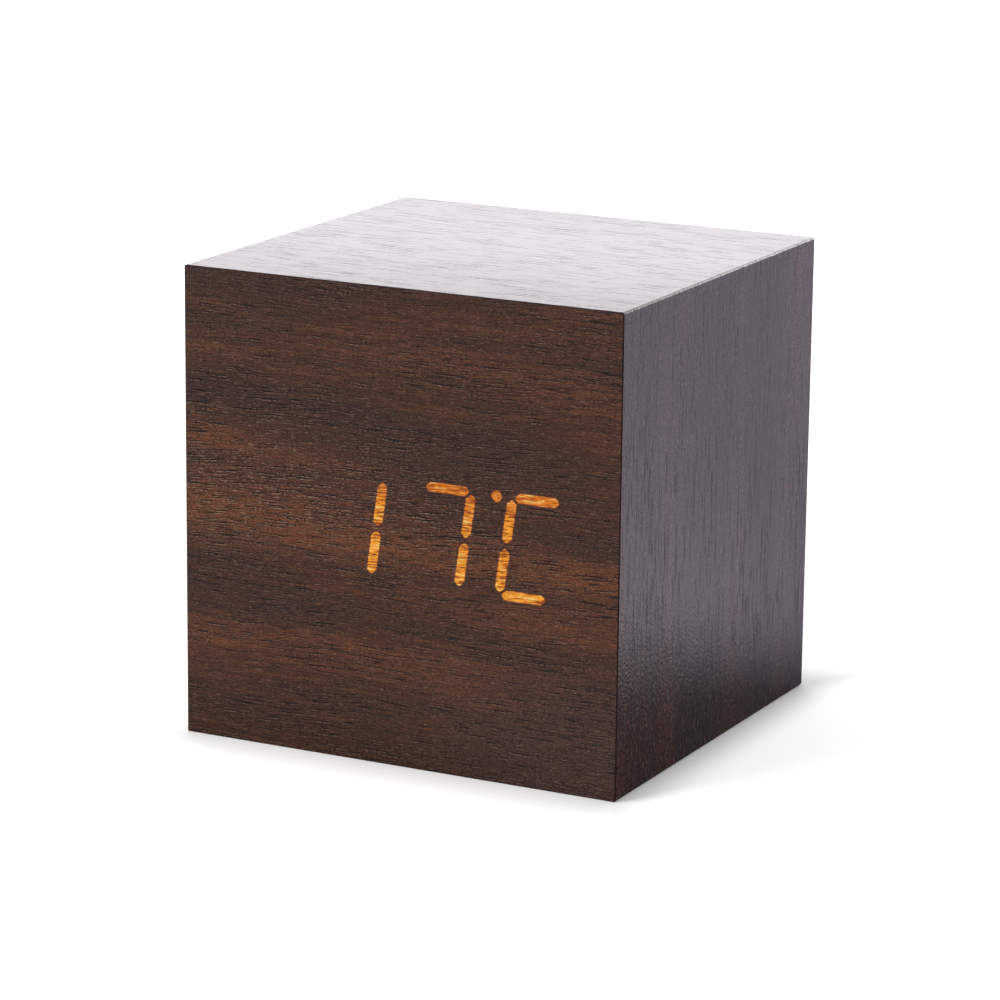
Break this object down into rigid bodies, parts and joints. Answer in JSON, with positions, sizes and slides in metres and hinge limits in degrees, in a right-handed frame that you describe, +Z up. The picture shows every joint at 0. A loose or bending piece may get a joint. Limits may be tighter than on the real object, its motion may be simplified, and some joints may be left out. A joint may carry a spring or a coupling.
{
  "type": "desk clock",
  "caption": "Cube-shaped wooden desk clock with an amber read-out shining through its front, push buttons and a hinged battery door in its back.",
  "frame": {"origin": "middle of the base, on the surface that the clock stands on", "axes": "+Z up, the front with the read-out faces -Y, +X to the right as seen from the front"},
  "size_m": [0.063, 0.06, 0.063],
  "materials": {
    "walnut_film": "satin dark walnut-grain film on fibreboard",
    "fibreboard": "raw medium-density fibreboard",
    "amber_light": "lit amber light pipe",
    "module_plastic": "matt grey-black moulding",
    "green_laminate": "green circuit-board laminate",
    "black_plastic": "fine-textured black moulding",
    "button_plastic": "smooth dark moulding",
    "white_plastic": "white moulding",
    "plated_steel": "bright nickel plating",
    "cell_jacket": "plain printed sleeve on a steel can",
    "blue_bead": "epoxy-dipped bead",
    "red_insulation": "soft red insulation",
    "black_insulation": "soft black insulation",
    "grey_insulation": "flat grey ribbon cable"
  },
  "bodies": {
    "case": {"back_cover": "black_plastic", "battery_cell_bottom": "cell_jacket", "battery_cell_middle": "cell_jacket", "battery_cell_top": "cell_jacket", "battery_lead_black": "black_insulation", "battery_lead_red": "red_insulation", "board_screw_left": "plated_steel", "board_screw_right": "plated_steel", "bottom_panel": "walnut_film", "button_board": "green_laminate", "buzzer": "black_plastic", "clock_chip": "black_plastic", "contact_link_left": "plated_steel", "contact_link_right": "plated_steel", "contact_negative": "plated_steel", "contact_positive": "plated_steel", "contact_spring_bottom": "plated_steel", "contact_spring_middle": "plated_steel", "contact_spring_top": "plated_steel", "corner_block_lower_left": "fibreboard", "corner_block_lower_right": "fibreboard", "corner_block_upper_left": "fibreboard", "corner_block_upper_right": "fibreboard", "cover_screw_lower_left": "plated_steel", "cover_screw_lower_right": "plated_steel", "cover_screw_upper_left": "plated_steel", "cover_screw_upper_right": "plated_steel", "dc_jack": "black_plastic", "display_board": "green_laminate", "display_module": "module_plastic", "display_screw_lower": "plated_steel", "display_screw_upper": "plated_steel", "front_board": "fibreboard", "front_film": "walnut_film", "left_panel": "walnut_film", "lit_c_bottom": "amber_light", "lit_c_lower": "amber_light", "lit_c_top": "amber_light", "lit_c_upper": "amber_light", "lit_degree_dot": "amber_light", "lit_one_lower": "amber_light", "lit_one_upper": "amber_light", "lit_seven_lower": "amber_light", "lit_seven_top": "amber_light", "lit_seven_upper": "amber_light", "quartz_crystal": "plated_steel", "ribbon_cable": "grey_insulation", "right_panel": "walnut_film", "switch_down": "black_plastic", "switch_set": "black_plastic", "switch_up": "black_plastic", "temperature_sensor": "blue_bead", "top_panel": "walnut_film"},
    "set_button": {"button_set": "button_plastic", "plunger_set": "white_plastic"},
    "up_button": {"button_up": "button_plastic", "plunger_up": "white_plastic"},
    "down_button": {"button_down": "button_plastic", "plunger_down": "white_plastic"},
    "door": {"battery_door": "black_plastic"}
  },
  "joints": [
    {"name": "set_button_press", "type": "slide", "parent": "case", "child": "set_button", "axis": [0, -1, 0], "range_m": [0, 0.0005], "stiffness_N_per_m": 2400},
    {"name": "up_button_press", "type": "slide", "parent": "case", "child": "up_button", "axis": [0, -1, 0], "range_m": [0, 0.0005], "stiffness_N_per_m": 2400},
    {"name": "down_button_press", "type": "slide", "parent": "case", "child": "down_button", "axis": [0, -1, 0], "range_m": [0, 0.0005], "stiffness_N_per_m": 2400},
    {"name": "door_hinge", "type": "hinge", "parent": "case", "child": "door", "pos_m": [0, 0.0282, 0.0113], "axis": [-1, 0, 0], "range_deg": [0, 90]}
  ]
}
